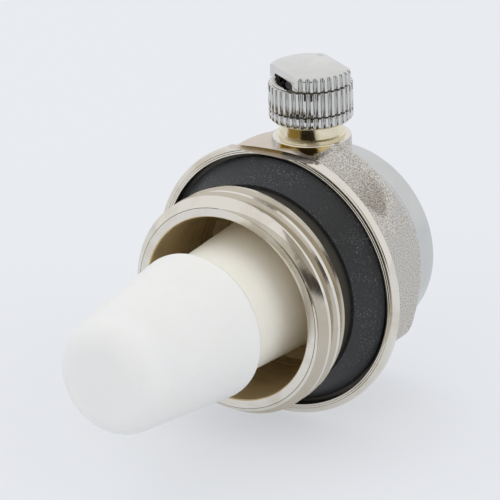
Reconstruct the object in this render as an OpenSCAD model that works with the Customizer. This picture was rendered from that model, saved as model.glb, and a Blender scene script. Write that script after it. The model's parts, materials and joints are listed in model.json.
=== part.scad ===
// Automatic air release valve for a radiator.
// The thread axis is Y and the thread's mouth faces -Y. The vent axis is Z.
// The origin lies on the thread axis, in the middle of the threaded length.

/* [Threaded nipple] */
// Major diameter of the male thread (1 inch pipe thread)
thread_d = 33.24; // [30:0.02:38]
// Length of full thread
thread_len = 4.45; // [3:0.05:9]
// Length of the lead chamfer at the mouth
lead_len = 1.25; // [0.6:0.05:2]
// Radial depth of that chamfer
lead_depth = 1.42; // [0.8:0.02:1.8]
// Depth of the relief behind the thread
relief_depth = 1.52; // [1:0.02:1.8]
// Distance from the end of the thread to the rim's face
relief_len = 6.5; // [5.5:0.1:10]
// Wall between the relief and the bore that the float passes through
nipple_wall = 1.27; // [1:0.01:1.6]

/* [Rim and sealing ring] */
// Width of the rim's flat face
rim_land = 1.4; // [0.8:0.1:3]
// Width of the turned band round the rim
rim_band = 1.4; // [1:0.1:2.4]
// Rounding of the rim's front edge
rim_round = 0.5; // [0.2:0.05:0.8]
// Radial width of the sealing ring
gasket_w = 3.55; // [2.8:0.05:4.5]
// Gap between the sealing ring and the wall of its recess
recess_gap = 0.65; // [0.3:0.05:0.9]
// Depth of that recess
recess_depth = 1.5; // [1:0.1:2]
// How far the sealing ring's cone reaches out of the rim
gasket_proud = 2.8; // [2:0.1:4]
// Height of the ring's outer edge above the floor of its recess
gasket_edge = 0.85; // [0.4:0.05:1]

/* [Cast body] */
// Length from the rim's face to the seat of the rear cover
body_len = 17.2; // [16.8:0.1:19]
// Length of the turned stretch in front of the rear cover
turned_len = 1.2; // [0.8:0.1:2]
// Hexagon across its flats
hex_af = 32; // [31:0.1:34]
// How much is turned off the hexagon's corners
hex_corner_cut = 0.475; // [0.2:0.005:0.8]
// Length of the turned chamfer at the back of the hexagon
back_chamfer = 3.8; // [3:0.1:5]
// Depth of the wide bore behind the rim's face
bore_depth = 4; // [3:0.1:4.5]

/* [Rear cover] */
// Diameter of the cover's spigot in the body
spigot_d = 24.8; // [24.2:0.1:25.4]
// Width of the cover's seat round the spigot
cover_seat = 2.55; // [2.2:0.05:2.9]
// Width of the ledge that the hinge plate rests on
plate_ledge = 1; // [0.8:0.05:1.3]
// Length of the cover behind its seat
cover_len = 3.2; // [2.6:0.1:6]
// Thickness of the cover's end wall
cover_wall = 1.2; // [0.8:0.1:1.8]
// Length of the spigot
spigot_len = 2.8; // [2.2:0.1:2.8]
// Wall of the spigot
spigot_wall = 1.8; // [1.4:0.1:2.2]
// Thickness of the cover's O-ring
cover_ring_d = 1; // [0.8:0.05:1.2]

/* [Vent boss and seat] */
// Distance of the vent axis in front of the rear cover's seat
vent_offset = 6.22; // [5.8:0.02:6.8]
// Diameter of the vent boss
boss_d = 11.6; // [10.6:0.02:12]
// Height of the boss's top above the thread axis
boss_top = 19.3; // [18.6:0.05:20.4]
// Diameter of the seat's shank in the boss
shank_d = 8; // [7.4:0.1:8.6]
// Length of that shank
shank_len = 5.3; // [4.4:0.1:6]
// Diameter of the seat's lower end
spout_d = 4.2; // [3.8:0.1:4.4]
// Diameter of the visible neck
neck_d = 9.38; // [9:0.02:9.6]
// Height of the visible neck above the boss
neck_len = 3; // [2.8:0.1:5]
// Diameter of the threaded end inside the cap
neck_thread_d = 7.2; // [6.8:0.1:8]
// Diameter of the air passage
vent_bore_d = 2; // [1.4:0.1:2.2]
// Thickness of the seat's O-ring
seat_ring_d = 0.94; // [0.7:0.02:1]

/* [Vent cap] */
// Wall of the cap round the neck, over the ribs
cap_wall = 1.46; // [1.2:0.02:2]
// How far the neck reaches into the cap
cap_lap = 0.57; // [0.3:0.01:1]
// Height of the cap
cap_h = 7.86; // [7.6:0.02:9]
// Height of the lower knurled band
cap_low_band = 1.75; // [1.4:0.05:2]
// Height of the band with the flats
cap_top_band = 2; // [1.4:0.05:2.2]
// Width of the grooves between the bands
cap_groove_w = 0.3; // [0.2:0.05:0.5]
// Wall between the cap's bore and its two flats
flat_wall = 0.75; // [0.6:0.05:1.1]
// Direction of the flats seen from above
cap_flat_angle = -30; // [-90:1:90]
// Number of ribs
cap_ribs = 36; // [24:1:40]
// Depth of the notches between the ribs
rib_depth = 0.34; // [0.2:0.02:0.45]
// Width of the discharge slot
slot_w = 5.8; // [3:0.1:6.4]
// Height of the discharge slot
slot_h = 1.1; // [0.8:0.05:1.2]
// Number of fibre discs in the cap
cap_disc_count = 4; // [2:1:4]

/* [Float] */
// Distance of the float's shoulder in front of the rim's face
shoulder_reach = 18.9; // [17:0.1:22]
// Length from the shoulder to the float's nose
nose_len = 22.9; // [16:0.1:40]
// Diameter at the shoulder
shoulder_d = 22.1; // [21:0.1:24]
// Taper of the nose on each side
nose_taper = 2.4; // [1:0.1:3.5]
// Rounding of the nose
nose_round = 4; // [2:0.1:5]
// Rounding of the shoulder's edge
shoulder_round = 0.75; // [0.3:0.05:0.9]
// Step from the shoulder down to the neck
shoulder_step = 1.95; // [1.6:0.05:2.4]
// Widening of the neck on each side towards the back
stem_taper = 1.25; // [0.4:0.05:1.4]
// Distance of the float's back wall behind the rim's face
stem_back = 1; // [0:0.1:1.6]
// Wall thickness of the float
float_wall = 1.2; // [0.8:0.1:1.4]
// Length of the glued joint between the two halves
float_lap = 5; // [3:0.1:8]

/* [Lever and plug] */
// Distance from the pivot to the vent axis
lever_arm = 5.6; // [5.2:0.05:5.9]
// Height of the pivot above the thread axis
pivot_z = 3.6; // [3:0.05:4.2]
// Diameter of the pivot pin
pin_d = 1.5; // [1.2:0.05:1.7]
// Thickness of the lever's sheet
lever_t = 0.8; // [0.6:0.05:1]
// Half width of the lever
lever_half_w = 3.2; // [2.8:0.05:3.4]
// Thickness of the hinge plate
plate_t = 0.8; // [0.6:0.05:1]
// Diameter of the rubber plug
plug_d = 3.6; // [3.2:0.1:4]
// Thickness of the rubber plug
plug_t = 1; // [0.8:0.05:1.2]
// Largest fall of the float in degrees
float_fall = 6; // [4:0.1:6.5]

/* [Clearances] */
// Radial clearance of pieces that turn or slide on each other
run_gap = 0.05; // [0.02:0.01:0.08]
// Radial clearance of pieces that stay put
seat_gap = 0.02; // [0.01:0.01:0.04]

/* [Hidden] */
$fn = 96;

// Diameters of nipple, sealing ring, rim, body and cover
mouth_d = thread_d - 2 * lead_depth;
relief_d = thread_d - 2 * relief_depth;
bore_d = relief_d - 2 * nipple_wall;
gasket_d = relief_d + 2 * gasket_w;
recess_d = gasket_d + 2 * recess_gap;
rim_d = recess_d + 2 * rim_land;
hex_corner_d = hex_af / cos(30) - 2 * hex_corner_cut;
chamber_d = spigot_d - 2 * plate_ledge;
cover_d = spigot_d + 2 * cover_seat;
cover_hollow_d = spigot_d - 2 * spigot_wall;

// Diameters of float and cap
nose_d = shoulder_d - 2 * nose_taper;
stem_front_d = shoulder_d - 2 * shoulder_step;
stem_back_d = stem_front_d + 2 * stem_taper;
cap_d = neck_d + 2 * cap_wall;
cap_flats = neck_thread_d + 2 * flat_wall;

// Stations along the thread axis
thread_end = thread_len / 2;
mouth_y = -thread_len / 2 - lead_len;
rim_y = thread_end + relief_len;
recess_y = rim_y + recess_depth;
cover_y = rim_y + body_len;
plate_y = cover_y - spigot_len - plate_t;
cover_end = cover_y + cover_len;
vent_y = cover_y - vent_offset;
pivot_y = vent_y + lever_arm;
shoulder_y = rim_y - shoulder_reach;
nose_y = shoulder_y - nose_len;
stem_end = rim_y + stem_back;

// How far a cutting shape reaches past the faces that it cuts
cut_over = 1;

// Groove for the ring in the cover's seat, and the cover's edges
cover_ring_mean = (spigot_d + cover_d) / 2;
cover_groove_w = 1.2 * cover_ring_d;
cover_back_round = 0.35;
cover_front_round = 0.25;

// Edges of the sealing ring
gasket_lip = 0.5;
gasket_bevel = 0.7;
gasket_back_round = 0.3;

// Turned relief behind the thread and slope of the rim's back
relief_slope = 0.7;
rim_back_run = 2.6;
rim_back_drop = 3.2;
back_edge = 0.3;
turned_y = cover_y - turned_len;

// Saddle that carries the boss on the body: a ridge round the thread axis between two corners of the hexagon
boss_edge = 0.3;
saddle_inset = 0.7;
saddle_round_r = rim_d / 2 - saddle_inset;
saddle_top = boss_top - boss_edge;
saddle_half_top = sqrt(pow(rim_d / 2, 2) - pow(saddle_top, 2));
saddle_spread = 45;
saddle_knee = rim_d / 2 * [sin(saddle_spread), cos(saddle_spread)];
saddle_foot = hex_corner_d / 2 * [sin(60), cos(60)];
ridge_flat = 0.6;

// Radius that the tool takes round the vent axis when the rim's top is faced level with the boss
facing_over = 3;
facing_r = vent_y - rim_y + facing_over;

// Levels of the seat and of the plug under it, from the top down
neck_top = boss_top + neck_len;
collar_w = 0.3;
collar_h = 0.3;
collar_slope = 0.2;
neck_edge = 0.2;
neck_thread_edge = 0.4;
shank_low = boss_top - shank_len;
seat_groove_z = boss_top - 3;
seat_groove_h = 1.3 * seat_ring_d;
nut_wall_gap = 0.3;
nut_af = 5.6;
nut_corner_r = nut_af / 2 / cos(30);
nut_h = 1.8;
nut_top = sqrt(pow(chamber_d / 2, 2) - pow(nut_corner_r, 2)) - nut_wall_gap;
nut_low = nut_top - nut_h;
lip_wall = 0.4;
lip_d = vent_bore_d + 2 * lip_wall;
lip_h = 0.5;
lip_z = nut_low - lip_h;
holder_cup = 0.3;
holder_top = lip_z - plug_t + holder_cup;
holder_disc_t = 0.9;
holder_low = holder_top - holder_disc_t;
cage_d = nut_af;
cage_wall = 0.5;
cage_bore_d = cage_d - 2 * cage_wall;
plug_travel = lever_arm * tan(float_fall);
plug_stop_gap = 0.1;
cage_floor_top = holder_low - plug_travel - plug_stop_gap;
cage_floor_t = 0.6;
cage_low = cage_floor_top - cage_floor_t;
window_w = 1.6;
window_edge = 0.4;
plug_round = 0.2;

// Stem of the plug in the lever's slot
waist_gap = 0.25;
waist_d = 1.6;
stem_flange_d = 3;
stem_flange_t = 0.4;
stem_flange_gap = 0.15;
slot_gap = 0.15;
plug_stem_d = 1.84;
lever_low = pivot_z - lever_t / 2;
lever_top = pivot_z + lever_t / 2;

// Pivot: bush in the lever, ears outside it, clips outside the ears
bush_wall = 0.6;
bush_d = pin_d + 2 * bush_wall;
ear_gap = 0.2;
ear_t = 0.8;
ear_x = lever_half_w + ear_gap;
ear_wall = 0.6;
ear_r = bush_d / 2 + ear_wall;
cheek_wall = 0.7;
cheek_r = bush_d / 2 + cheek_wall;
cheek_lap = 2.2;
blade_gap = 0.3;
clip_t = 0.4;
clip_wall = 0.85;
clip_d = pin_d + 2 * clip_wall;
clip_groove = 0.2;
clip_groove_d = pin_d - 2 * clip_groove;
clip_mouth = 0.8 * clip_groove_d;
clip_x = ear_x + ear_t + run_gap;
pin_end = 0.4;
pin_round = 0.15;
pin_half = clip_x + clip_t + pin_end;

// Window and water passages of the hinge plate
plate_window_low = 6;
passage_d = 4.4;
passage_x = 7.4;
passage_z = 4.4;

// Lug on the float that the lever is riveted to
lug_len = 6.2;
lug_h = 3;
rivet_d = 1.4;
rivet_head_d = 2.4;
rivet_head_t = 0.5;
rivet_edge = 0.3;
rivet_start = 2;
rivet_pitch = 2.6;
rivet_y = [stem_end + rivet_start, stem_end + rivet_start + rivet_pitch];
lever_front_gap = 0.6;
lever_front = stem_end + lever_front_gap;
keyhole_d = stem_flange_d + 4 * slot_gap;
keyhole_shift = 2.5;

// Inner edges of the float; its straight sides lie a hair inside their roundings, so that they cross
stem_round = 0.8;
float_step = 0.2;
float_room_lap = 0.5;
side_inset = 0.002;

// Levels of the cap
cap_z = neck_top - cap_lap;
cap_top = cap_z + cap_h;
cap_bore_d = neck_thread_d + 2 * run_gap;
cap_roof = 1;
cap_mouth_gap = 0.15;
cap_mouth_d = neck_d + 2 * cap_mouth_gap;
cap_mouth_h = neck_top - cap_z + cap_mouth_gap;
cap_flat_z = cap_top - cap_top_band;
cap_low_edge = 0.5;
cap_top_edge = 0.3;
cap_groove_depth = 0.15;
notch_share = 0.62;
slot_drop = 0.2;
washer_t = 0.6;
disc_gap = 0.05;
cap_room_top = cap_top - cap_roof;
disc_room = 3.2;
disc_room_gap = 0.3;
disc_side_gap = 0.1;
neck_end = cap_room_top - disc_room;
washer_top = neck_end + washer_t;
washer_bore_d = vent_bore_d + 1;
disc_pitch = (cap_room_top - disc_room_gap - washer_top) / cap_disc_count;

brass_nickel = [0.78, 0.75, 0.68];
cool_nickel = [0.80, 0.82, 0.83];
chrome = [0.86, 0.87, 0.89];
bare_brass = [0.76, 0.66, 0.42];
black_rubber = [0.16, 0.16, 0.17];
white_float = [0.93, 0.93, 0.90];
spring_steel = [0.66, 0.67, 0.69];
acetal = [0.88, 0.87, 0.82];
fibre = [0.82, 0.74, 0.60];

// Turns a shape drawn along +Z so that it lies along +Y.
module along_y() {
    rotate([-90, 0, 0]) children();
}

// Extrudes an outline drawn in X and Z along +Y from y0.
module sheet_y(y0, t) {
    translate([0, y0 + t, 0]) rotate([90, 0, 0]) linear_extrude(t) children();
}

// Extrudes an outline drawn in Y and Z along +X from x0.
module sheet_x(x0, t) {
    translate([x0, 0, 0]) rotate([90, 0, 90]) linear_extrude(t) children();
}

// What a radius r takes off an outer corner; the material lies towards (-sx, -sy).
module corner_cut(x, y, r, sx, sy) {
    translate([x - sx * r, y - sy * r])
        difference() {
            translate([sx > 0 ? 0 : -r, sy > 0 ? 0 : -r]) square(r);
            circle(r);
        }
}

// Ring of round section: d is its mean diameter and t its thickness.
module o_ring(d, t) {
    rotate_extrude() translate([d / 2, 0]) circle(d = t, $fn = 32);
}

// Turned outside of nipple, relief, recess and rim.
module turned_front() {
    rim_r = rim_d / 2;
    difference() {
        polygon([
            [0, mouth_y], [mouth_d / 2, mouth_y], [thread_d / 2, mouth_y + lead_len],
            [thread_d / 2, thread_end], [relief_d / 2, thread_end + relief_slope],
            [relief_d / 2, recess_y], [recess_d / 2, recess_y], [recess_d / 2, rim_y], [rim_r, rim_y],
            [rim_r, rim_y + rim_band], [rim_r - rim_back_drop, rim_y + rim_band + rim_back_run],
            [0, rim_y + rim_band + rim_back_run]
        ]);
        corner_cut(rim_r, rim_y, rim_round, 1, -1);
    }
}

// Where the chamfer at the back of the casting has a given radius.
function chamfer_y(r) =
    let (end_r = cover_d / 2 + back_edge)
    turned_y - back_chamfer * (r - end_r) / (hex_corner_d / 2 - end_r);

// Turned outline that ends the casting at the back, from a given radius.
module turned_back(r) {
    polygon([
        [0, recess_y], [r, recess_y], [r, chamfer_y(r)],
        [cover_d / 2 + back_edge, turned_y], [cover_d / 2, turned_y], [cover_d / 2, cover_y], [0, cover_y]
    ]);
}

// Outline of the ridge: it rises at 45 degrees behind the rim and falls along the chamfer.
module turned_ridge() {
    foot_r = hex_af / 2;
    crest_y = chamfer_y(saddle_round_r) - ridge_flat;
    intersection() {
        turned_back(saddle_round_r);
        polygon([
            [0, recess_y], [foot_r, recess_y], [foot_r, crest_y - saddle_round_r + foot_r],
            [saddle_round_r, crest_y], [saddle_round_r, cover_y], [0, cover_y]
        ]);
    }
}

// Inside of the body: bore, chamber, seat of the hinge plate and spigot.
module body_hollow() {
    spigot_r = spigot_d / 2 + seat_gap;
    step = (bore_d - chamber_d) / 2;
    polygon([
        [0, mouth_y - cut_over], [bore_d / 2, mouth_y - cut_over], [bore_d / 2, rim_y + bore_depth],
        [chamber_d / 2, rim_y + bore_depth + step], [chamber_d / 2, plate_y],
        [spigot_r, plate_y], [spigot_r, cover_y + cut_over], [0, cover_y + cut_over]
    ]);
}

// Ridge on both sides of the boss, down to the corners of the hexagon.
module saddle() {
    intersection() {
        sheet_y(recess_y, cover_y - recess_y)
            polygon([
                [-saddle_foot[0], saddle_foot[1]], [-saddle_knee[0], saddle_knee[1]],
                [-saddle_half_top, saddle_top], [saddle_half_top, saddle_top],
                saddle_knee, saddle_foot, [0, chamber_d / 2]
            ]);
        along_y() rotate_extrude() turned_ridge();
    }
}

module vent_boss() {
    r = boss_d / 2;
    translate([0, vent_y, 0])
        rotate_extrude()
            polygon([
                [0, chamber_d / 2 - cut_over], [r, chamber_d / 2 - cut_over], [r, boss_top - boss_edge],
                [r - boss_edge, boss_top], [0, boss_top]
            ]);
}

module valve_body() {
    color(brass_nickel)
        difference() {
            union() {
                difference() {
                    along_y() rotate_extrude() turned_front();
                    translate([0, vent_y, boss_top]) cylinder(r = facing_r, h = rim_d);
                }
                intersection() {
                    sheet_y(recess_y, cover_y - recess_y)
                        rotate(30) circle(d = hex_af / cos(30), $fn = 6);
                    along_y() rotate_extrude() turned_back(hex_corner_d / 2);
                }
                saddle();
                vent_boss();
            }
            along_y() rotate_extrude() body_hollow();
            along_y() translate([0, 0, cover_y]) cylinder(d = cover_d + 2 * back_edge, h = cover_len);
            translate([0, vent_y, shank_low - seat_gap])
                cylinder(d = shank_d + 2 * seat_gap, h = shank_len + cut_over);
            translate([0, vent_y, 0]) cylinder(d = spout_d + 2 * seat_gap, h = boss_top);
        }
}

module rear_cover() {
    r = cover_d / 2;
    color(cool_nickel)
        along_y()
            rotate_extrude()
                difference() {
                    union() {
                        translate([0, cover_y]) square([r, cover_len]);
                        translate([0, cover_y - spigot_len]) square([spigot_d / 2, spigot_len + cover_wall]);
                    }
                    translate([0, cover_y - spigot_len - cut_over])
                        square([cover_hollow_d / 2, spigot_len + cover_len - cover_wall + cut_over]);
                    translate([cover_ring_mean / 2 - cover_groove_w / 2, cover_y])
                        square([cover_groove_w, cover_ring_d - seat_gap]);
                    corner_cut(r, cover_end, cover_back_round, 1, 1);
                    corner_cut(r, cover_y, cover_front_round, 1, -1);
                }
}

module cover_ring() {
    section = cover_ring_d - 4 * seat_gap;
    color(black_rubber)
        translate([0, cover_y + cover_ring_d / 2 - seat_gap, 0]) along_y() o_ring(cover_ring_mean, section);
}

// Conical sealing ring: its outer edge sits low in the recess of the rim.
module port_gasket() {
    inner = relief_d / 2 + seat_gap;
    outer = gasket_d / 2;
    edge_y = recess_y - gasket_edge;
    front_y = rim_y - gasket_proud;
    color(black_rubber)
        along_y()
            rotate_extrude()
                difference() {
                    polygon([
                        [inner, recess_y], [inner, front_y], [inner + gasket_lip, front_y],
                        [outer - gasket_bevel, edge_y - gasket_bevel], [outer, edge_y], [outer, recess_y]
                    ]);
                    corner_cut(outer, recess_y, gasket_back_round, 1, 1);
                }
}

module vent_seat() {
    neck_r = neck_d / 2;
    collar_top = boss_top + collar_h;
    end_r = neck_thread_d / 2;
    color(bare_brass)
        translate([0, vent_y, 0])
            rotate_extrude()
                difference() {
                    polygon([
                        [0, lip_z], [lip_d / 2, lip_z], [lip_d / 2, nut_low], [spout_d / 2, nut_low],
                        [spout_d / 2, shank_low], [shank_d / 2, shank_low], [shank_d / 2, boss_top],
                        [neck_r + collar_w, boss_top], [neck_r + collar_w, collar_top],
                        [neck_r, collar_top + collar_slope], [neck_r, neck_top - neck_edge],
                        [neck_r - neck_edge, neck_top], [end_r, neck_top],
                        [end_r, neck_end - neck_thread_edge], [end_r - neck_thread_edge, neck_end],
                        [0, neck_end]
                    ]);
                    translate([0, lip_z - cut_over])
                        square([vent_bore_d / 2, neck_end - lip_z + 2 * cut_over]);
                    translate([shank_d / 2 - seat_ring_d + seat_gap, seat_groove_z])
                        square([seat_ring_d, seat_groove_h]);
                }
}

module vent_seat_ring() {
    z = seat_groove_z + seat_groove_h / 2;
    color(black_rubber)
        translate([0, vent_y, z]) o_ring(shank_d - seat_ring_d + 2 * seat_gap, seat_ring_d - 2 * seat_gap);
}

module plug_cage() {
    window_h = nut_low - cage_floor_top - 2 * window_edge;
    color(bare_brass)
        translate([0, vent_y, 0])
            difference() {
                union() {
                    translate([0, 0, nut_low]) cylinder(r = nut_corner_r, h = nut_h, $fn = 6);
                    translate([0, 0, cage_low]) cylinder(d = cage_d, h = nut_low - cage_low + cage_wall);
                }
                cylinder(d = stem_flange_d + 2 * stem_flange_gap, h = nut_low);
                translate([0, 0, cage_floor_top]) cylinder(d = cage_bore_d, h = nut_low - cage_floor_top);
                translate([0, 0, nut_low - cut_over])
                    cylinder(d = spout_d + 2 * seat_gap, h = nut_h + 2 * cut_over);
                for (turn = [45, 135])
                    rotate(turn)
                        translate([-cage_d, -window_w / 2, cage_floor_top + window_edge])
                            cube([2 * cage_d, window_w, window_h]);
            }
}

module plug_holder() {
    color(acetal)
        translate([0, vent_y, 0])
            rotate_extrude()
                difference() {
                    polygon([
                        [0, lever_low - waist_gap - stem_flange_t],
                        [stem_flange_d / 2, lever_low - waist_gap - stem_flange_t],
                        [stem_flange_d / 2, lever_low - waist_gap], [waist_d / 2, lever_low - waist_gap],
                        [waist_d / 2, lever_top + waist_gap], [stem_flange_d / 2, lever_top + waist_gap],
                        [stem_flange_d / 2, lever_top + waist_gap + stem_flange_t],
                        [plug_stem_d / 2, lever_top + waist_gap + stem_flange_t],
                        [plug_stem_d / 2, holder_low], [cage_bore_d / 2 - run_gap, holder_low],
                        [cage_bore_d / 2 - run_gap, holder_top], [0, holder_top]
                    ]);
                    translate([0, holder_top - holder_cup])
                        square([plug_d / 2 + seat_gap, holder_cup + cut_over]);
                }
}

module valve_plug() {
    color(black_rubber)
        translate([0, vent_y, holder_top - holder_cup])
            rotate_extrude()
                difference() {
                    square([plug_d / 2, plug_t]);
                    corner_cut(plug_d / 2, plug_t, plug_round, 1, 1);
                }
}

// Stamped plate with a window for the lever and four water passages; its ears are bent to the back.
module hinge_plate() {
    window_low = pivot_z - plate_window_low;
    window_top = nut_top + nut_wall_gap;
    ear_len = pivot_y - plate_y - plate_t;
    color(spring_steel) {
        difference() {
            union() {
                sheet_y(plate_y, plate_t)
                    difference() {
                        circle(d = spigot_d);
                        translate([-ear_x, window_low]) square([2 * ear_x, window_top - window_low]);
                        for (x = [-1, 1], z = [-1, 1])
                            translate([x * passage_x, z * passage_z]) circle(d = passage_d);
                    }
                for (side = [-1, 1])
                    sheet_x(side > 0 ? ear_x : -ear_x - ear_t, ear_t) {
                        translate([plate_y, pivot_z - ear_r]) square([plate_t + ear_len, 2 * ear_r]);
                        translate([pivot_y, pivot_z]) circle(ear_r);
                    }
            }
            translate([-pin_half, pivot_y, pivot_z])
                rotate([0, 90, 0]) cylinder(d = pin_d + 2 * seat_gap, h = 2 * pin_half);
        }
    }
}

module pivot_pin() {
    color(spring_steel)
        translate([0, pivot_y, pivot_z])
            rotate([0, 90, 0])
                rotate_extrude()
                    difference() {
                        translate([0, -pin_half]) square([pin_d / 2, 2 * pin_half]);
                        for (z = [clip_x, -clip_x - clip_t])
                            translate([clip_groove_d / 2, z - seat_gap])
                                square([pin_d, clip_t + 2 * seat_gap]);
                        corner_cut(pin_d / 2, pin_half, pin_round, 1, 1);
                        corner_cut(pin_d / 2, -pin_half, pin_round, 1, -1);
                    }
}

// Retaining clips: rings that are open on one side.
module pin_clips() {
    color(spring_steel)
        for (side = [-1, 1])
            sheet_x(side > 0 ? clip_x : -clip_x - clip_t, clip_t)
                translate([pivot_y, pivot_z])
                    difference() {
                        circle(d = clip_d);
                        circle(d = clip_groove_d + 2 * seat_gap);
                        translate([0, -clip_mouth / 2]) square([clip_d, clip_mouth]);
                    }
}

module lever_bush() {
    color(acetal)
        translate([-lever_half_w, pivot_y, pivot_z])
            rotate([0, 90, 0])
                difference() {
                    cylinder(d = bush_d, h = 2 * lever_half_w);
                    translate([0, 0, -cut_over])
                        cylinder(d = pin_d + 2 * run_gap, h = 2 * (lever_half_w + cut_over));
                }
}

// Sheet lever: flat blade with a keyhole slot, and two cheeks bent down round the bush.
module float_lever() {
    blade_end = pivot_y - bush_d / 2 - blade_gap;
    cheek_start = blade_end - cheek_lap;
    slot_half = waist_d / 2 + slot_gap;
    color(spring_steel)
        difference() {
            union() {
                translate([-lever_half_w, lever_front, lever_low])
                    cube([2 * lever_half_w, blade_end - lever_front, lever_t]);
                for (side = [-1, 1])
                    sheet_x(side > 0 ? lever_half_w - lever_t : -lever_half_w, lever_t) {
                        translate([cheek_start, pivot_z - cheek_r])
                            square([pivot_y - cheek_start, cheek_r + lever_t / 2]);
                        translate([pivot_y, pivot_z]) circle(cheek_r);
                    }
            }
            translate([-lever_half_w - cut_over, pivot_y, pivot_z])
                rotate([0, 90, 0]) cylinder(d = bush_d + 2 * seat_gap, h = 2 * (lever_half_w + cut_over));
            translate([0, 0, lever_low - cut_over]) {
                linear_extrude(lever_t + 2 * cut_over) {
                    translate([0, vent_y]) circle(slot_half);
                    translate([-slot_half, vent_y - keyhole_shift]) square([2 * slot_half, keyhole_shift]);
                    translate([0, vent_y - keyhole_shift]) circle(d = keyhole_d);
                    for (y = rivet_y)
                        translate([0, y]) circle(d = rivet_d + 2 * seat_gap);
                }
            }
        }
}

module lever_rivets() {
    lug_low = lever_low - lug_h;
    head_r = rivet_head_d / 2;
    color(spring_steel)
        for (y = rivet_y)
            translate([0, y, 0])
                rotate_extrude()
                    polygon([
                        [0, lug_low - rivet_head_t], [head_r, lug_low - rivet_head_t], [head_r, lug_low],
                        [rivet_d / 2, lug_low], [rivet_d / 2, lever_top], [head_r, lever_top],
                        [head_r - rivet_edge, lever_top + rivet_head_t], [0, lever_top + rivet_head_t]
                    ]);
}

// Outline of a tapered cup: r_nose is its radius where the nose's rounding starts,
// and r_back is its radius at y_back.
module cup_outline(y_nose, r_nose, nose_r, r_back, y_back, back_r) {
    slope = (r_back - r_nose) / (y_back - y_nose - nose_r);
    tilt = atan(slope);
    nose_c = [r_nose - nose_r / cos(tilt), y_nose + nose_r];
    back_c = [r_back - slope * back_r - back_r / cos(tilt), y_back - back_r];
    side = [cos(tilt), -sin(tilt)];
    intersection() {
        translate([0, y_nose]) square([2 * r_back, y_back - y_nose]);
        union() {
            translate(nose_c) circle(nose_r);
            translate(back_c) circle(back_r);
            polygon([
                [0, y_nose], [nose_c[0], y_nose], nose_c, nose_c + (nose_r - side_inset) * side,
                back_c + (back_r - side_inset) * side,
                back_c, [back_c[0], y_back], [0, y_back]
            ]);
        }
    }
}

// Front half of the float: a tapered cup with a socket for the rear half.
module float_nose() {
    nose_r = nose_d / 2;
    shoulder_r = shoulder_d / 2;
    slope = (shoulder_r - nose_r) / (shoulder_y - nose_y - nose_round);
    socket_r = stem_front_d / 2 + seat_gap;
    room_y = shoulder_y - float_lap;
    room_r = min(socket_r - float_step, shoulder_r - slope * float_lap - float_wall);
    color(white_float)
        along_y()
            rotate_extrude()
                difference() {
                    cup_outline(nose_y, nose_r, nose_round, shoulder_r, shoulder_y, shoulder_round);
                    translate([0, room_y]) square([socket_r, float_lap + cut_over]);
                    cup_outline(nose_y + float_wall, nose_r - float_wall, nose_round - float_wall,
                                room_r, room_y + float_room_lap, float_step);
                }
}

// Rear half of the float: a tapered tube, closed at the back, with the lug for the lever.
module float_stem() {
    front_r = stem_front_d / 2;
    back_r = stem_back_d / 2;
    front_y = shoulder_y - float_lap;
    color(white_float)
        difference() {
            union() {
                along_y()
                    rotate_extrude()
                        difference() {
                            polygon([
                                [0, front_y], [front_r, front_y], [front_r, shoulder_y],
                                [back_r, stem_end], [0, stem_end]
                            ]);
                            polygon([
                                [0, front_y - cut_over], [front_r - float_wall, front_y - cut_over],
                                [front_r - float_wall, shoulder_y],
                                [back_r - float_wall, stem_end - float_wall], [0, stem_end - float_wall]
                            ]);
                            corner_cut(back_r, stem_end, stem_round, 1, 1);
                        }
                translate([-lever_half_w, stem_end - float_wall / 2, lever_low - lug_h])
                    cube([2 * lever_half_w, lug_len + float_wall / 2, lug_h]);
            }
            for (y = rivet_y)
                translate([0, y, lever_low - lug_h - cut_over])
                    cylinder(d = rivet_d + 2 * seat_gap, h = lug_h + 2 * cut_over);
        }
}

module cap_washer() {
    color(black_rubber)
        translate([0, vent_y, neck_end])
            difference() {
                cylinder(d = neck_thread_d, h = washer_t);
                translate([0, 0, -cut_over]) cylinder(d = washer_bore_d, h = washer_t + 2 * cut_over);
            }
}

module cap_discs() {
    color(fibre)
        for (i = [0 : cap_disc_count - 1])
            translate([0, vent_y, washer_top + disc_gap + i * disc_pitch])
                cylinder(d = neck_thread_d - 2 * disc_side_gap, h = disc_pitch - disc_gap);
}

// Outline of the ribbed cap: a circle with round notches.
module ribbed_outline() {
    notch_d = notch_share * PI * cap_d / cap_ribs;
    difference() {
        circle(d = cap_d);
        for (i = [0 : cap_ribs - 1])
            rotate(i * 360 / cap_ribs)
                translate([cap_d / 2 + notch_d / 2 - rib_depth, 0]) circle(d = notch_d, $fn = 24);
    }
}

// Strip as wide as the cap's two flats.
module flats_outline() {
    rotate(cap_flat_angle) square([cap_d + cut_over, cap_flats], center = true);
}

// Slot with round ends in the front flat, drawn along the flat's normal.
module discharge_slot() {
    slot_z = cap_flat_z + slot_h / 2 - slot_drop;
    rotate(cap_flat_angle)
        translate([0, -cap_d / 2, slot_z])
            rotate([-90, 0, 0])
                linear_extrude(cap_d / 2) {
                    square([slot_w - slot_h, slot_h], center = true);
                    for (side = [-1, 1])
                        translate([side * (slot_w - slot_h) / 2, 0]) circle(d = slot_h);
                }
}

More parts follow.
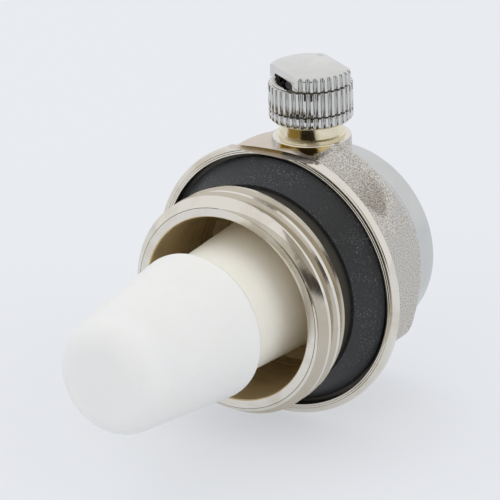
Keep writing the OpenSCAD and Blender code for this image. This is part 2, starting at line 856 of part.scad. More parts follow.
module vent_cap() {
    core_r = cap_d / 2 - rib_depth - cap_groove_depth;
    mid_z = cap_z + cap_low_band + cap_groove_w;
    color(chrome)
        translate([0, vent_y, 0])
            difference() {
                intersection() {
                    union() {
                        translate([0, 0, cap_z]) linear_extrude(cap_low_band) ribbed_outline();
                        translate([0, 0, mid_z])
                            linear_extrude(cap_flat_z - cap_groove_w - mid_z) ribbed_outline();
                        translate([0, 0, cap_z]) cylinder(r = core_r, h = cap_flat_z - cap_z);
                        translate([0, 0, cap_flat_z - cap_groove_w])
                            linear_extrude(cap_top_band + cap_groove_w)
                                intersection() {
                                    circle(r = core_r);
                                    flats_outline();
                                }
                        translate([0, 0, cap_flat_z])
                            linear_extrude(cap_top_band)
                                intersection() {
                                    ribbed_outline();
                                    flats_outline();
                                }
                    }
                    rotate_extrude()
                        polygon([
                            [0, cap_z], [cap_d / 2 - cap_low_edge, cap_z], [cap_d / 2, cap_z + cap_low_edge],
                            [cap_d / 2, cap_top - cap_top_edge], [cap_d / 2 - cap_top_edge, cap_top],
                            [0, cap_top]
                        ]);
                }
                translate([0, 0, cap_z - cut_over]) cylinder(d = cap_mouth_d, h = cap_mouth_h + cut_over);
                translate([0, 0, cap_z]) cylinder(d = cap_bore_d, h = cap_room_top - cap_z);
                discharge_slot();
            }
}

valve_body();
rear_cover();
cover_ring();
port_gasket();
vent_seat();
vent_seat_ring();
plug_cage();
hinge_plate();
pivot_pin();
pin_clips();
float_nose();
float_stem();
float_lever();
lever_bush();
lever_rivets();
plug_holder();
valve_plug();
cap_washer();
vent_cap();
cap_discs();
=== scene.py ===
"""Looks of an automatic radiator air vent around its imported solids.

The valve body is modelled here as it is made: a sand casting that is turned, bored and threaded. The rear
cover is turned too, and the cap gets soft edges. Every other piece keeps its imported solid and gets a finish.
Sizes are millimetres, and a finished piece is scaled to metres once, at the end of its making.
"""

from __future__ import annotations

import json
import logging
import math
from dataclasses import dataclass
from enum import Enum
from typing import Any, Iterable

import bpy
from mathutils import Matrix, Vector

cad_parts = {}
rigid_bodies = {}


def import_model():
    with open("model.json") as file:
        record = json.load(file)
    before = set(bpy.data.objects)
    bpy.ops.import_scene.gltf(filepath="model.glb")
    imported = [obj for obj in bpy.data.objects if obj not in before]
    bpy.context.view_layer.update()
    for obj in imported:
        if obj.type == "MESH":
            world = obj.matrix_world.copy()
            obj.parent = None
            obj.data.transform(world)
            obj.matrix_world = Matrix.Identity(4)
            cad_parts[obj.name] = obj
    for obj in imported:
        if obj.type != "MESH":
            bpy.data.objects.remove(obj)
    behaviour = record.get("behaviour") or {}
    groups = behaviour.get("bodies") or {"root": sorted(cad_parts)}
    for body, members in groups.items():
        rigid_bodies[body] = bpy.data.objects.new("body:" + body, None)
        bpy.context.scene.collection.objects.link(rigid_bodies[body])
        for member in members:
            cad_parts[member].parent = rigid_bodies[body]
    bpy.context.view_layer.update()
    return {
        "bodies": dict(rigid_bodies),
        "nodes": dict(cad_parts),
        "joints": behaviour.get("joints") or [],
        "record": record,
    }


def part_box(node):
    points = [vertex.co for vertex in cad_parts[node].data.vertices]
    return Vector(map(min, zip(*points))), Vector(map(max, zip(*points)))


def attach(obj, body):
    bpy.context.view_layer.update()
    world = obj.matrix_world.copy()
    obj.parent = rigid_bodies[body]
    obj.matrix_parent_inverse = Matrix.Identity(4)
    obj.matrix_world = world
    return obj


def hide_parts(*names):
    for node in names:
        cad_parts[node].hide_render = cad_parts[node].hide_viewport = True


LOG = logging.getLogger("air_vent")
MM = 0.001

# Steps in a full turn, by the size of what is turned
FINE_TURN = 240
PLAIN_TURN = 180
SMALL_TURN = 72

# A face is a side wall where its normal's Z is under this
WALL_NORMAL_Z = 0.5


class Axis(Enum):
    """Axis that a turned piece is spun about."""

    THREAD = (0.0, 1.0, 0.0)
    VENT = (0.0, 0.0, 1.0)


class Joinery(Enum):
    """Ways to combine two solids."""

    JOIN = "UNION"
    CUT = "DIFFERENCE"
    COMMON = "INTERSECT"


@dataclass(frozen=True)
class Corner:
    """Corner of a turned outline: its radius, its place along the axis and its rounding."""

    radius: float
    along: float
    rounding: float = 0.0


def linear(hex_colour: str) -> tuple[float, float, float, float]:
    """Turn an sRGB colour into linear light.

    Args:
        hex_colour: Six hexadecimal digits.

    Returns:
        Red, green, blue and an alpha of 1.
    """
    shares = [int(hex_colour[i:i + 2], 16) / 255 for i in (0, 2, 4)]
    red, green, blue = [s / 12.92 if s <= 0.04045 else ((s + 0.055) / 1.055) ** 2.4 for s in shares]
    return red, green, blue, 1.0


def per_mm(size: float) -> float:
    """Scale of a texture on coordinates in metres whose features are this many millimetres wide."""
    return 1.0 / (size * MM)


def add_node(
    tree: bpy.types.NodeTree,
    kind: str,
    settings: dict[Any, Any] | None = None,
    links: dict[Any, bpy.types.NodeSocket] | None = None,
) -> bpy.types.Node:
    """Add one node with its settings and links.

    Args:
        tree: Node tree that gets the node.
        kind: Blender's type name of the node.
        settings: Values by name; the name of an input sets its value, any other name sets a property.
        links: Output sockets by the name or the index of the input that each one feeds.

    Returns:
        The new node.
    """
    node = tree.nodes.new(kind)
    for name, value in (settings or {}).items():
        if isinstance(name, int) or name in node.inputs:
            node.inputs[name].default_value = value
        else:
            setattr(node, name, value)
    for name, socket in (links or {}).items():
        tree.links.new(socket, node.inputs[name])
    return node


class Bench:
    """Workbench tools: each one shapes one object with Blender's own operators."""

    @staticmethod
    def select_only(piece: bpy.types.Object) -> None:
        """Make a piece the only selected and the active object.

        Args:
            piece: The piece.
        """
        bpy.ops.object.select_all(action="DESELECT")
        piece.select_set(True)
        bpy.context.view_layer.objects.active = piece

    @staticmethod
    def edit(piece: bpy.types.Object) -> None:
        """Open a piece in edit mode with everything selected.

        Args:
            piece: The piece.
        """
        Bench.select_only(piece)
        bpy.ops.object.mode_set(mode="EDIT")
        bpy.ops.mesh.select_mode(type="VERT")
        bpy.ops.mesh.select_all(action="SELECT")

    @staticmethod
    def close() -> None:
        """Leave edit mode."""
        bpy.ops.object.mode_set(mode="OBJECT")

    @staticmethod
    def apply_place(piece: bpy.types.Object) -> None:
        """Put the place, turn and scale of a piece into its mesh."""
        Bench.select_only(piece)
        bpy.ops.object.transform_apply(location=True, rotation=True, scale=True)

    @staticmethod
    def apply_modifier(piece: bpy.types.Object, kind: str, settings: dict[str, Any]) -> None:
        """Add a modifier with its settings and apply it.

        Args:
            piece: Object that is shaped.
            kind: Blender's type name of the modifier.
            settings: Property values by name.
        """
        modifier = piece.modifiers.new(kind.lower(), kind)
        for name, value in settings.items():
            setattr(modifier, name, value)
        Bench.select_only(piece)
        bpy.ops.object.modifier_apply(modifier=modifier.name)

    @staticmethod
    def rounded(corners: Iterable[Corner], steps: int = 6) -> list[tuple[float, float]]:
        """Points of an outline whose corners are rounded by arcs.

        Args:
            corners: Corners in order.
            steps: Straight steps in each arc.

        Returns:
            Radius and place along the axis of each point.
        """
        chain = list(corners)
        points: list[tuple[float, float]] = []
        for index, corner in enumerate(chain):
            here = Vector((corner.radius, corner.along))
            if corner.rounding <= 0.0:
                points.append((here.x, here.y))
                continue
            before = Vector((chain[index - 1].radius, chain[index - 1].along))
            after = Vector((chain[index + 1].radius, chain[index + 1].along))
            to_before = (before - here).normalized()
            to_after = (after - here).normalized()
            half = to_before.angle(to_after) / 2
            centre = here + (to_before + to_after).normalized() * (corner.rounding / math.sin(half))
            start = here + to_before * (corner.rounding / math.tan(half)) - centre
            end = here + to_after * (corner.rounding / math.tan(half)) - centre
            sweep = start.angle_signed(end)
            for step in range(steps + 1):
                spoke = start.copy()
                spoke.rotate(Matrix.Rotation(-sweep * step / steps, 2))
                points.append(tuple(centre + spoke))
        return points

    @staticmethod
    def trace(name: str, points: list[Vector], closed: bool) -> bpy.types.Object:
        """Draw a chain of edges by extruding one vertex from point to point.

        Args:
            name: Name of the new object.
            points: Points of the chain.
            closed: Whether the chain ends where it began.

        Returns:
            The new object, with its place in its mesh.
        """
        bpy.ops.object.select_all(action="DESELECT")
        bpy.ops.mesh.primitive_plane_add(size=1.0, location=points[0])
        piece = bpy.context.active_object
        piece.name = name
        Bench.edit(piece)
        bpy.ops.mesh.merge(type="CENTER")
        for here, there in zip(points, points[1:]):
            bpy.ops.mesh.extrude_region_move(TRANSFORM_OT_translate={"value": there - here})
        bpy.ops.mesh.select_all(action="SELECT")
        if closed:
            bpy.ops.mesh.edge_face_add()
        Bench.close()
        Bench.apply_place(piece)
        return piece

    @staticmethod
    def turn(
        name: str,
        corners: Iterable[Corner],
        axis: Axis,
        finish: bpy.types.Material,
        vent_y: float = 0.0,
        steps: int = PLAIN_TURN,
    ) -> bpy.types.Object:
        """Turn a closed solid from an outline that begins and ends on its axis.

        Args:
            name: Name of the new object.
            corners: Corners of the outline.
            axis: Axis of the turned piece.
            finish: Material of the turned surface.
            vent_y: Where the vent axis stands on the thread axis.
            steps: Number of steps in the full turn.

        Returns:
            The new solid.
        """
        if axis is Axis.THREAD:
            centre = Vector((0.0, 0.0, 0.0))
            points = [Vector((radius, along, 0.0)) for radius, along in Bench.rounded(corners)]
        else:
            centre = Vector((0.0, vent_y, 0.0))
            points = [Vector((radius, vent_y, along)) for radius, along in Bench.rounded(corners)]
        piece = Bench.trace(name, points, closed=False)
        Bench.edit(piece)
        bpy.ops.mesh.spin(steps=steps, angle=math.tau, center=centre, axis=axis.value)
        Bench.tidy_open_mesh()
        Bench.close()
        piece.data.materials.append(finish)
        return piece

    @staticmethod
    def tidy_open_mesh(threshold: float = 1e-4) -> None:
        """Merge doubles and turn the normals outwards on the mesh that is open in edit mode.

        Args:
            threshold: Distance under which vertices are merged.
        """
        bpy.ops.mesh.select_all(action="SELECT")
        bpy.ops.mesh.remove_doubles(threshold=threshold)
        bpy.ops.mesh.normals_make_consistent(inside=False)

    @staticmethod
    def prism(
        name: str,
        outline: list[tuple[float, float]],
        start: float,
        end: float,
        finish: bpy.types.Material,
    ) -> bpy.types.Object:
        """Extrude an outline of X and Z along the thread axis.

        Args:
            name: Name of the new object.
            outline: Corners in X and Z.
            start: Place of the front face.
            end: Place of the back face.
            finish: Material of the prism.

        Returns:
            The new solid.
        """
        piece = Bench.trace(name, [Vector((x, start, z)) for x, z in outline], closed=True)
        Bench.edit(piece)
        bpy.ops.mesh.extrude_region_move(TRANSFORM_OT_translate={"value": (0.0, end - start, 0.0)})
        Bench.tidy_open_mesh()
        Bench.close()
        piece.data.materials.append(finish)
        return piece

    @staticmethod
    def combine(piece: bpy.types.Object, tool: bpy.types.Object, how: Joinery) -> bpy.types.Object:
        """Combine a solid with a tool solid, which is used up; cut faces take the tool's finish.

        Args:
            piece: Solid that is kept.
            tool: Solid that is joined to it or cut from it.
            how: Way to combine them.

        Returns:
            The kept solid.
        """
        settings = {
            "operation": how.value,
            "solver": "MANIFOLD",
            "material_mode": "TRANSFER",
            "object": tool,
        }
        Bench.apply_modifier(piece, "BOOLEAN", settings)
        bpy.data.objects.remove(tool)
        return piece

    @staticmethod
    def to_metres(piece: bpy.types.Object) -> None:
        """Scale a finished piece from millimetres to metres."""
        piece.scale = (MM, MM, MM)
        Bench.apply_place(piece)

    @staticmethod
    def smooth(piece: bpy.types.Object, degrees: float) -> None:
        """Shade a piece smooth across edges that are flatter than an angle."""
        Bench.select_only(piece)
        bpy.ops.object.shade_smooth_by_angle(angle=math.radians(degrees))


@dataclass(frozen=True)
class Finish:
    """Surface finish: its common name and the values that its shader starts from."""

    name: str
    colour: str
    metallic: float
    roughness: float

    def start(
        self,
    ) -> tuple[bpy.types.Material, bpy.types.NodeTree, bpy.types.Node, bpy.types.NodeSocket]:
        """Make a plain material with one shader.

        Returns:
            The material, its node tree, the shader and the place on the piece that patterns read.
        """
        material = bpy.data.materials.new(self.name)
        material.use_nodes = True
        tree = material.node_tree
        tree.nodes.clear()
        shader = add_node(tree, "ShaderNodeBsdfPrincipled", {
            "Base Color": linear(self.colour),
            "Metallic": self.metallic,
            "Roughness": self.roughness,
        })
        add_node(tree, "ShaderNodeOutputMaterial", links={"Surface": shader.outputs["BSDF"]})
        place = add_node(tree, "ShaderNodeTexCoord").outputs["Object"]
        return material, tree, shader, place

    def shade(
        self,
        tree: bpy.types.NodeTree,
        shader: bpy.types.Node,
        mask: bpy.types.NodeSocket,
        other: str,
    ) -> None:
        """Blend the colour towards another one.

        Args:
            tree: Node tree of the material.
            shader: Its shader.
            mask: Share of the other colour.
            other: The other colour.
        """
        mix = add_node(tree, "ShaderNodeMix", {
            "data_type": "RGBA",
            6: linear(self.colour),
            7: linear(other),
        }, {0: mask})
        tree.links.new(mix.outputs[2], shader.inputs["Base Color"])

    def spread(
        self,
        tree: bpy.types.NodeTree,
        shader: bpy.types.Node,
        share: bpy.types.NodeSocket,
        low: float,
        high: float,
    ) -> None:
        """Let the roughness vary between two values.

        Args:
            tree: Node tree of the material.
            shader: Its shader.
            share: Pattern from 0 to 1.
            low: Roughness where the pattern is 0.
            high: Roughness where it is 1.
        """
        ramp = add_node(tree, "ShaderNodeMapRange", {"To Min": low, "To Max": high}, {"Value": share})
        tree.links.new(ramp.outputs["Result"], shader.inputs["Roughness"])

    def emboss(
        self,
        tree: bpy.types.NodeTree,
        shader: bpy.types.Node,
        height: bpy.types.NodeSocket,
        depth: float,
    ) -> None:
        """Give the surface a fine relief.

        Args:
            tree: Node tree of the material.
            shader: Its shader.
            height: Pattern from 0 to 1.
            depth: Height of the relief in millimetres.
        """
        bump = add_node(tree, "ShaderNodeBump", {"Distance": depth * MM}, {"Height": height})
        tree.links.new(bump.outputs["Normal"], shader.inputs["Normal"])


@dataclass(frozen=True)
class CastNickel(Finish):
    """Nickel plate on a sand casting.

    The plate keeps the grain of the sand, so the shine breaks into sparkles, and the hollows stay greyer.
    """

    grain: float = 0.2
    depth: float = 0.05
    patch: float = 5.0
    hollows: str = "A09A91"
    gloss_spread: tuple[float, float] = (-0.06, 0.08)

    def material(self) -> bpy.types.Material:
        """Build the material.

        Returns:
            The material.
        """
        material, tree, shader, place = self.start()
        sand = add_node(tree, "ShaderNodeTexNoise", {
            "Scale": per_mm(self.grain), "Detail": 2.0, "Roughness": 0.55,
        }, {"Vector": place})
        patches = add_node(tree, "ShaderNodeTexNoise", {
            "Scale": per_mm(self.patch), "Detail": 2.0,
        }, {"Vector": place})
        hollows = add_node(tree, "ShaderNodeMapRange", {
            "From Min": 0.64, "From Max": 0.34, "To Min": 0.0, "To Max": 1.0,
        }, {"Value": sand.outputs["Fac"]})
        self.shade(tree, shader, hollows.outputs["Result"], self.hollows)
        low, high = self.gloss_spread
        self.spread(tree, shader, patches.outputs["Fac"], self.roughness + low, self.roughness + high)
        self.emboss(tree, shader, sand.outputs["Fac"], self.depth)
        return material


@dataclass(frozen=True)
class TurnedNickel(Finish):
    """Turned brass with nickel plate: rings from the tool stretch every highlight along the turning.

    The rings are drawn wider than the feed of a lathe, so that they show.
    """

    ring: float = 0.5
    depth: float = 0.004
    cloud: float = 6.0
    stain: str = "B9A98C"
    gloss_span: tuple[float, float] = (0.6, 1.5)

    def material(self) -> bpy.types.Material:
        """Build the material.

        Returns:
            The material.
        """
        material, tree, shader, place = self.start()
        split = add_node(tree, "ShaderNodeSeparateXYZ", links={"Vector": place})
        flat = add_node(tree, "ShaderNodeCombineXYZ", links={
            "X": split.outputs["X"], "Y": split.outputs["Z"],
        })
        radius = add_node(tree, "ShaderNodeVectorMath", {"operation": "LENGTH"}, {0: flat.outputs["Vector"]})
        turned = add_node(tree, "ShaderNodeCombineXYZ", links={
            "X": radius.outputs["Value"], "Y": split.outputs["Y"],
        })
        rings = add_node(tree, "ShaderNodeTexNoise", {
            "Scale": per_mm(self.ring), "Detail": 1.0,
        }, {"Vector": turned.outputs["Vector"]})
        clouds = add_node(tree, "ShaderNodeTexNoise", {
            "Scale": per_mm(self.cloud), "Detail": 4.0,
        }, {"Vector": place})
        haze = add_node(tree, "ShaderNodeMapRange", {
            "From Min": 0.5, "From Max": 0.75, "To Min": 0.0, "To Max": 0.5,
        }, {"Value": clouds.outputs["Fac"]})
        self.shade(tree, shader, haze.outputs["Result"], self.stain)
        low, high = self.gloss_span
        self.spread(tree, shader, rings.outputs["Fac"], low * self.roughness, high * self.roughness)
        self.emboss(tree, shader, rings.outputs["Fac"], self.depth)
        return material


@dataclass(frozen=True)
class SpunBrass(Finish):
    """Bright brass turned about the vent axis: level tool lines pull reflections into upright bands."""

    line: float = 0.06
    depth: float = 0.011
    cloud: float = 2.5
    stain: str = "BFA462"
    gloss_span: tuple[float, float] = (0.7, 1.4)

    def material(self) -> bpy.types.Material:
        """Build the material.

        Returns:
            The material.
        """
        material, tree, shader, place = self.start()
        split = add_node(tree, "ShaderNodeSeparateXYZ", links={"Vector": place})
        level = add_node(tree, "ShaderNodeCombineXYZ", links={"Z": split.outputs["Z"]})
        lines = add_node(tree, "ShaderNodeTexNoise", {
            "Scale": per_mm(self.line), "Detail": 2.0,
        }, {"Vector": level.outputs["Vector"]})
        clouds = add_node(tree, "ShaderNodeTexNoise", {
            "Scale": per_mm(self.cloud), "Detail": 3.0,
        }, {"Vector": place})
        haze = add_node(tree, "ShaderNodeMapRange", {
            "From Min": 0.45, "From Max": 0.75, "To Min": 0.0, "To Max": 0.5,
        }, {"Value": clouds.outputs["Fac"]})
        self.shade(tree, shader, haze.outputs["Result"], self.stain)
        low, high = self.gloss_span
        self.spread(tree, shader, clouds.outputs["Fac"], low * self.roughness, high * self.roughness)
        self.emboss(tree, shader, lines.outputs["Fac"], self.depth)
        return material


@dataclass(frozen=True)
class PlatedMetal(Finish):
    """Smooth plated or polished metal: faint clouds in the gloss and hairline marks from handling."""

    cloud: float = 3.0
    tarnish: str = "A0A0A0"
    tarnish_share: float = 0.25
    mark: float = 0.5
    mark_depth: float = 0.002
    gloss_span: tuple[float, float] = (0.7, 1.4)

    def material(self) -> bpy.types.Material:
        """Build the material.

        Returns:
            The material.
        """
        material, tree, shader, place = self.start()
        clouds = add_node(tree, "ShaderNodeTexNoise", {
            "Scale": per_mm(self.cloud), "Detail": 4.0,
        }, {"Vector": place})
        marks = add_node(tree, "ShaderNodeTexNoise", {
            "Scale": per_mm(self.mark), "Detail": 2.0,
        }, {"Vector": place})
        film = add_node(tree, "ShaderNodeMapRange", {
            "From Min": 0.4, "From Max": 0.75, "To Min": 0.0, "To Max": self.tarnish_share,
        }, {"Value": clouds.outputs["Fac"]})
        self.shade(tree, shader, film.outputs["Result"], self.tarnish)
        low, high = self.gloss_span
        self.spread(tree, shader, clouds.outputs["Fac"], low * self.roughness, high * self.roughness)
        self.emboss(tree, shader, marks.outputs["Fac"], self.mark_depth)
        return material


@dataclass(frozen=True)
class Rubber(Finish):
    """Moulded rubber or pressed fibre: matt, with pale dust caught in its pores."""

    pore: float = 0.26
    depth: float = 0.02
    patch: float = 4.5
    dust: str = "8A8C8F"
    gloss_spread: tuple[float, float] = (-0.08, 0.1)

    def material(self) -> bpy.types.Material:
        """Build the material.

        Returns:
            The material.
        """
        material, tree, shader, place = self.start()
        pores = add_node(tree, "ShaderNodeTexNoise", {
            "Scale": per_mm(self.pore), "Detail": 3.0, "Roughness": 0.6,
        }, {"Vector": place})
        patches = add_node(tree, "ShaderNodeTexNoise", {
            "Scale": per_mm(self.patch), "Detail": 2.0,
        }, {"Vector": place})
        specks = add_node(tree, "ShaderNodeMapRange", {
            "From Min": 0.54, "From Max": 0.68, "To Min": 0.0, "To Max": 1.0,
        }, {"Value": pores.outputs["Fac"]})
        where = add_node(tree, "ShaderNodeMapRange", {
            "From Min": 0.42, "From Max": 0.62, "To Min": 0.05, "To Max": 0.4,
        }, {"Value": patches.outputs["Fac"]})
        dust = add_node(tree, "ShaderNodeMath", {"operation": "MULTIPLY"}, {
            0: specks.outputs["Result"], 1: where.outputs["Result"],
        })
        self.shade(tree, shader, dust.outputs["Value"], self.dust)
        low, high = self.gloss_spread
        self.spread(tree, shader, patches.outputs["Fac"], self.roughness + low, self.roughness + high)
        self.emboss(tree, shader, pores.outputs["Fac"], self.depth)
        return material


@dataclass(frozen=True)
class MouldedPlastic(Finish):
    """Natural polymer moulding: light goes a little way in, and the skin is faintly uneven."""

    flow: float = 7.0
    skin: float = 0.9
    depth: float = 0.01
    shadow: str = "DAD8CC"
    glow: float = 0.5
    reach: float = 2.5
    reach_by_colour: tuple[float, float, float] = (1.0, 0.93, 0.72)
    gloss_spread: tuple[float, float] = (-0.06, 0.08)

    def material(self) -> bpy.types.Material:
        """Build the material.

        Returns:
            The material.
        """
        material, tree, shader, place = self.start()
        shader.inputs["Subsurface Weight"].default_value = self.glow
        shader.inputs["Subsurface Radius"].default_value = self.reach_by_colour
        shader.inputs["Subsurface Scale"].default_value = self.reach * MM
        flow = add_node(tree, "ShaderNodeTexNoise", {
            "Scale": per_mm(self.flow), "Detail": 3.0,
        }, {"Vector": place})
        skin = add_node(tree, "ShaderNodeTexNoise", {
            "Scale": per_mm(self.skin), "Detail": 2.0,
        }, {"Vector": place})
        cloudy = add_node(tree, "ShaderNodeMapRange", {
            "From Min": 0.45, "From Max": 0.8, "To Min": 0.0, "To Max": 0.15,
        }, {"Value": flow.outputs["Fac"]})
        self.shade(tree, shader, cloudy.outputs["Result"], self.shadow)
        low, high = self.gloss_spread
        self.spread(tree, shader, flow.outputs["Fac"], self.roughness + low, self.roughness + high)
        self.emboss(tree, shader, skin.outputs["Fac"], self.depth)
        return material


class Palette:
    """Every finish of the air vent, built once."""

    def __init__(self) -> None:
        """Build the materials."""
        # Cast hexagon and ridge: warm grey that sparkles
        self.cast = CastNickel("nickel_plated_sand_casting", "E2DED7", 1.0, 0.26).material()
        # Nipple and rim from the lathe: bright, with long highlights
        self.turned = TurnedNickel("nickel_plated_turned_brass", "E6E1D7", 1.0, 0.10).material()
        # Flanks of the thread groove: warmer, duller and darker than the crests
        self.flank = TurnedNickel(
            "nickel_plated_thread_flank", "C9C1B2", 1.0, 0.16, stain="A89D88"
        ).material()
        # Web beside the boss, dressed by hand: soft reflections
        self.web = TurnedNickel(
            "nickel_plated_dressed_web", "DDD3C8", 1.0, 0.42, stain="CDBFB4"
        ).material()
        # Relief, recess, the mouth's tool line and the cap's grooves: dark nickel, which is painted shade
        self.relief = TurnedNickel(
            "tarnished_tool_marks", "56524A", 0.7, 0.45, stain="34312B"
        ).material()
        # Front of the boss, polished to the brass: gold and dark bands
        self.boss = SpunBrass("spun_brass_boss", "CDB67A", 1.0, 0.12).material()
        # Inside of the body: dull brass with tool rings, brown in the shade
        self.bore = TurnedNickel(
            "turned_brass_bore", "D8C294", 0.5, 0.30, ring=0.6, depth=0.02, stain="A68D60"
        ).material()
        # Rear cover and the chamfer in front of it: cool and even
        self.back = PlatedMetal(
            "satin_nickel_back", "D0D1D0", 1.0, 0.24, tarnish="BFC1C1", mark_depth=0.001
        ).material()
        # Notches between the cap's ribs: duller chrome, and darker, which is painted shade
        self.dull_shaded_chrome = PlatedMetal("dull_chrome_plate", "BDBDBA", 1.0, 0.18, tarnish="8E8D8A").material()
        # Ribs, flats and top of the cap: a clear mirror
        self.chrome = PlatedMetal("chrome_plate", "D9D8D4", 1.0, 0.07, tarnish="B8BABE").material()
        # Neck under the cap: pale gold, drawn into upright bands
        self.brass = SpunBrass("spun_brass_neck", "EBE3CA", 1.0, 0.12).material()
        # Sealing rings: charcoal, with dust in the pores
        self.rubber = Rubber("moulded_black_rubber", "242526", 0.0, 0.46).material()
        # Nose of the float: milky white, soft in the shade
        self.white = MouldedPlastic("natural_polypropylene", "EAE9E5", 0.0, 0.34).material()
        # Neck of the float: the same polymer as the nose, painted lighter and creamier to stand for warm light
        # bounced off the brass bore
        self.stem_painted_bounce = MouldedPlastic("creamy_polypropylene", "F9F6EA", 0.0, 0.36, glow=0.1).material()
        # Bush and plug holder: ivory and slightly waxy
        self.acetal = MouldedPlastic("acetal", "E4E2D8", 0.0, 0.30, shadow="D2CFC0").material()
        # Stamped plate, lever, pin, clips and rivets: plain grey steel
        self.steel = PlatedMetal("stainless_spring_sheet", "C3C5C8", 1.0, 0.26).material()
        # Swelling discs in the cap: matt, with pale fibres
        self.fibre = Rubber("pressed_fibre", "565053", 0.0, 0.75, pore=0.3, dust="B79E70").material()


@dataclass(frozen=True)
class Stations:
    """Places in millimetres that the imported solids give."""

    mouth_y: float
    thread_r: float
    thread_end: float
    rim_y: float
    recess_y: float
    rim_r: float
    plate_y: float
    spigot_r: float
    cover_r: float
    cover_y: float
    vent_y: float
    boss_top: float
    floor_z: float

    @classmethod
    def from_frame(cls, frame: dict[str, Any]) -> "Stations":
        """Read the places from the frame.


        Returns:
            The places.
        """
        body_low, body_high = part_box("valve_body")
        _, gasket_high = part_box("port_gasket")
        plate_low, plate_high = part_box("hinge_plate")
        _, cover_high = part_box("rear_cover")
        mounts = {mount["name"]: mount for mount in frame["record"]["mounts"]}
        joints = {joint["name"]: joint for joint in frame["joints"]}
        nipple = mounts["nipple"]["dims"]
        return cls(
            mouth_y=body_low.y / MM,
            thread_r=nipple["r_mm"],
            thread_end=mounts["nipple"]["pos_m"][1] / MM + nipple["length_mm"] / 2,
            rim_y=mounts["rim_face"]["pos_m"][1] / MM,
            recess_y=gasket_high.y / MM,
            rim_r=body_high.x / MM,
            plate_y=plate_low.y / MM,
            spigot_r=plate_high.x / MM,
            cover_r=cover_high.x / MM,
            cover_y=body_high.y / MM,
            vent_y=joints["cap_turn"]["pos_m"][1] / MM,
            boss_top=body_high.z / MM,
            floor_z=body_low.z / MM,
        )


